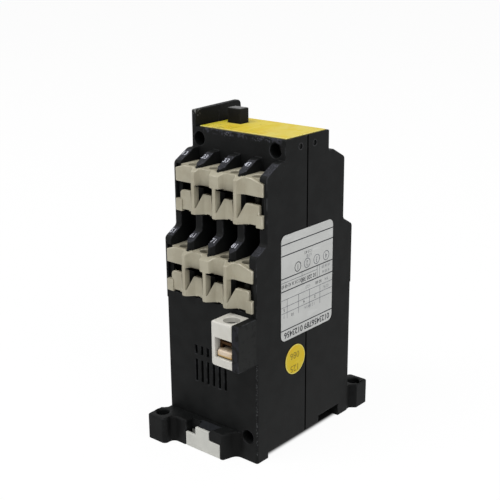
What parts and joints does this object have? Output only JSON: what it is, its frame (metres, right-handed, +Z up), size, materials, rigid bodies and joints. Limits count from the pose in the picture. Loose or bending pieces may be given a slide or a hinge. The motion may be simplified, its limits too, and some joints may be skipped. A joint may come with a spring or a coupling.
{
  "type": "contactor relay",
  "caption": "Tall auxiliary contactor on a rail-mount base, with stepped terminal decks behind comb guards, coil terminals, a sliding contact carrier and a sprung rail latch.",
  "frame": {"origin": "centre of the base, on the mounting surface", "axes": "+Z up from the mounting plate, X the width with the rating label on +X, Y the depth with the front terminal end and the rail latch towards -Y"},
  "size_m": [0.0412, 0.068, 0.1078],
  "materials": {
    "case_black": "fine-grained moulding",
    "carrier_black": "plain moulding",
    "guard_beige": "satin moulding",
    "terminal_white": "satin moulding",
    "latch_grey": "satin moulding",
    "label_yellow": "satin plate",
    "sticker_yellow": "printed sticker",
    "label_silver": "printed silver foil",
    "brass": "stamped",
    "steel": "zinc plated",
    "core_steel": "stacked laminations",
    "copper": "enamelled copper",
    "rubber_pad": "plain",
    "bobbin_plastic": "plain moulding"
  },
  "bodies": {
    "case": {"housing_front": "case_black", "housing_rear": "case_black", "guard_upper_front": "guard_beige", "guard_lower_front": "guard_beige", "guard_upper_rear": "guard_beige", "guard_lower_rear": "guard_beige", "coil_terminal_front": "terminal_white", "coil_terminal_rear": "terminal_white", "coil_clamp_front": "brass", "coil_clamp_rear": "brass", "coil_strip_front": "brass", "coil_strip_rear": "brass", "coil_screws": "steel", "terminal_screws": "steel", "clamp_plates": "steel", "housing_screws": "steel", "top_label": "label_yellow", "rating_label": "label_silver", "inspection_sticker": "sticker_yellow", "latch_spring": "steel", "return_springs": "steel", "magnet_core": "core_steel", "shading_rings": "copper", "core_pad": "rubber_pad", "coil_bobbin": "bobbin_plastic", "coil_winding": "copper", "contact_upper_front_1": "brass", "contact_upper_rear_1": "brass", "contact_upper_front_2": "brass", "contact_upper_rear_2": "brass", "contact_upper_front_3": "brass", "contact_upper_rear_3": "brass", "contact_upper_front_4": "brass", "contact_upper_rear_4": "brass", "contact_lower_front_1": "brass", "contact_lower_rear_1": "brass", "contact_lower_front_2": "brass", "contact_lower_rear_2": "brass", "contact_lower_front_3": "brass", "contact_lower_rear_3": "brass", "contact_lower_front_4": "brass", "contact_lower_rear_4": "brass"},
    "carrier": {"contact_carrier": "carrier_black", "armature": "core_steel", "armature_pin": "steel", "contact_springs_upper": "steel", "contact_springs_lower": "steel"},
    "bridges": {"bridge_upper_1": "brass", "bridge_upper_2": "brass", "bridge_upper_3": "brass", "bridge_upper_4": "brass", "bridge_lower_1": "brass", "bridge_lower_2": "brass", "bridge_lower_3": "brass", "bridge_lower_4": "brass"},
    "latch": {"rail_latch": "latch_grey"}
  },
  "joints": [
    {"name": "carrier_slide", "type": "slide", "parent": "case", "child": "carrier", "axis": [0, 0, 1], "range_m": [-0.004, 0], "stiffness_N_per_m": 1000, "springref_m": 0.006, "deforming": ["return_springs"]},
    {"name": "bridge_slide", "type": "slide", "parent": "case", "child": "bridges", "axis": [0, 0, 1], "range_m": [-0.003, 0], "deforming": ["contact_springs_upper", "contact_springs_lower"]},
    {"name": "latch_slide", "type": "slide", "parent": "case", "child": "latch", "axis": [0, -1, 0], "range_m": [0, 0.003], "stiffness_N_per_m": 800, "springref_m": -0.003, "deforming": ["latch_spring"]}
  ],
  "couplings": [
    {"joint": "bridge_slide", "follows": "carrier_slide", "ratio": 0.75}
  ]
}
